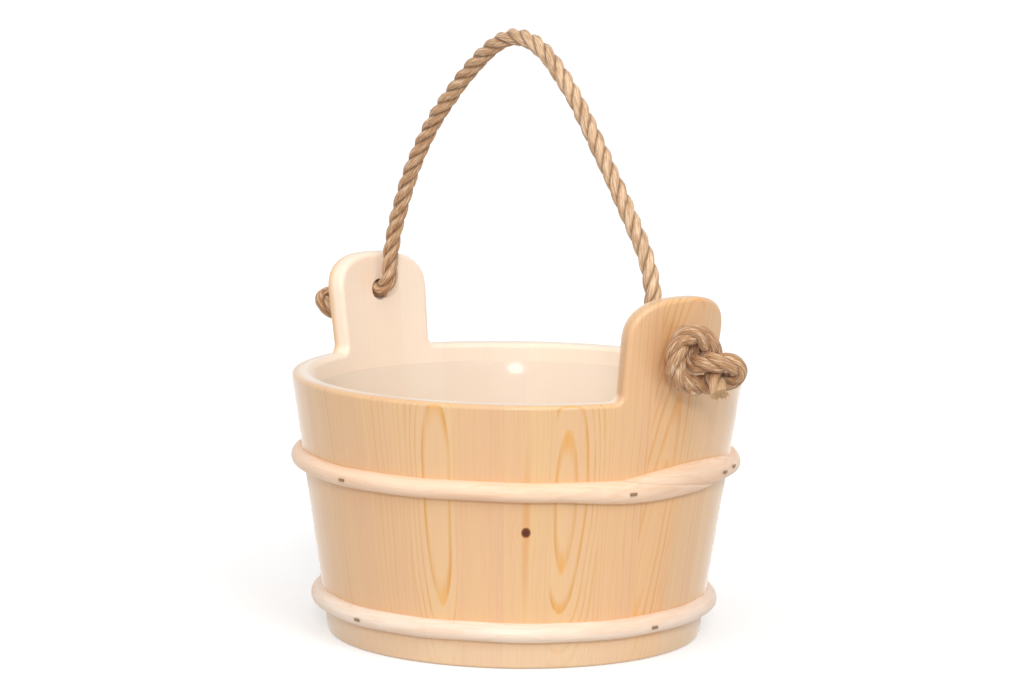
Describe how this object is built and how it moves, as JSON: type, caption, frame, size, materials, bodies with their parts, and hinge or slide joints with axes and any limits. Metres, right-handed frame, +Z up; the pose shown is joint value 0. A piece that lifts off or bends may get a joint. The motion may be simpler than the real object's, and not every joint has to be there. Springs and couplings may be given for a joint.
{
  "type": "sauna bucket",
  "caption": "Round coopered wooden bucket with flared stave walls, two raised ears, split wooden hoops, a knotted rope handle that swings and a thin lift-out liner.",
  "frame": {"origin": "middle of the circle that the staves' feet stand on", "axes": "+Z up along the bucket's axis, +X through the middle of one ear and its rope hole, +Y across the swing of the handle"},
  "size_m": [0.3413, 0.2614, 0.3481],
  "materials": {
    "lacquered_pine": "clear satin lacquer",
    "planed_pine": "planed",
    "hoop_wood": "peeled and shaved, satin lacquer",
    "brad_steel": "dark, dull",
    "rope_fibre": "three-strand natural fibre",
    "liner_plastic": "translucent, satin"
  },
  "bodies": {
    "bucket": {"stave_01": "lacquered_pine", "stave_02": "lacquered_pine", "stave_03": "lacquered_pine", "stave_04": "lacquered_pine", "stave_05": "lacquered_pine", "stave_06": "lacquered_pine", "stave_07": "lacquered_pine", "stave_08": "lacquered_pine", "stave_09": "lacquered_pine", "stave_10": "lacquered_pine", "stave_11": "lacquered_pine", "stave_12": "lacquered_pine", "stave_13": "lacquered_pine", "stave_14": "lacquered_pine", "stave_15": "lacquered_pine", "stave_16": "lacquered_pine", "stave_17": "lacquered_pine", "stave_18": "lacquered_pine", "stave_19": "lacquered_pine", "stave_20": "lacquered_pine", "stave_21": "lacquered_pine", "stave_22": "lacquered_pine", "ear_stave_right_1": "lacquered_pine", "ear_stave_right_2": "lacquered_pine", "ear_stave_right_3": "lacquered_pine", "ear_stave_left_1": "lacquered_pine", "ear_stave_left_2": "lacquered_pine", "ear_stave_left_3": "lacquered_pine", "bottom_board_1": "planed_pine", "bottom_board_2": "planed_pine", "bottom_board_3": "planed_pine", "bottom_board_4": "planed_pine", "upper_hoop": "hoop_wood", "lower_hoop": "hoop_wood", "upper_hoop_brad_1": "brad_steel", "upper_hoop_brad_2": "brad_steel", "upper_hoop_brad_3": "brad_steel", "upper_hoop_brad_4": "brad_steel", "upper_hoop_brad_5": "brad_steel", "upper_hoop_brad_6": "brad_steel", "lower_hoop_brad_1": "brad_steel", "lower_hoop_brad_2": "brad_steel", "lower_hoop_brad_3": "brad_steel", "lower_hoop_brad_4": "brad_steel", "lower_hoop_brad_5": "brad_steel", "lower_hoop_brad_6": "brad_steel"},
    "handle": {"rope_handle": "rope_fibre"},
    "inner_liner": {"liner": "liner_plastic"}
  },
  "joints": [
    {"name": "handle_swing", "type": "hinge", "parent": "bucket", "child": "handle", "pos_m": [0, 0, 0.186], "axis": [1, 0, 0], "range_deg": [-103, 103]},
    {"name": "liner_lift", "type": "slide", "parent": "bucket", "child": "inner_liner", "axis": [0, 0, 1], "range_m": [0, 0.01]}
  ]
}
